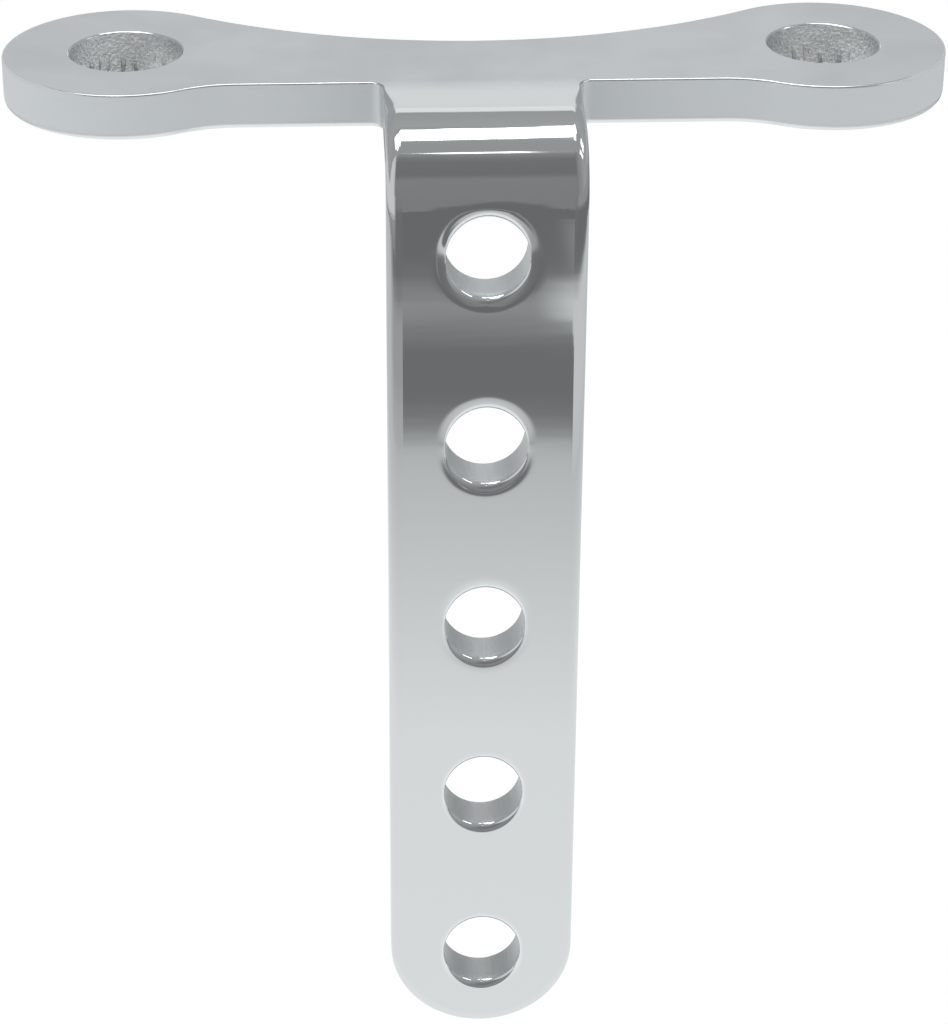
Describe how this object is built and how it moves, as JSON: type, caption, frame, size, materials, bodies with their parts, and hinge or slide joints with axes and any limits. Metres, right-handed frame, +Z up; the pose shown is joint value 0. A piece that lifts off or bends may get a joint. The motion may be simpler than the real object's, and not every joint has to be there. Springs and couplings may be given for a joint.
{
  "type": "headlight mounting bracket",
  "caption": "Polished one-piece bent plate that bolts under handlebar risers and carries a headlight on a hanging leg with a row of holes.",
  "frame": {"origin": "midway between the centres of the two riser holes, on the underside of the crossbar", "axes": "+X to the right along the line of the riser holes, +Y to the rear, +Z up; the leg hangs down in front, towards -Y"},
  "size_m": [0.12, 0.0459, 0.1313],
  "materials": {
    "chrome_plate": "polished"
  },
  "bodies": {
    "root": {"bracket": "chrome_plate"}
  },
  "joints": []
}
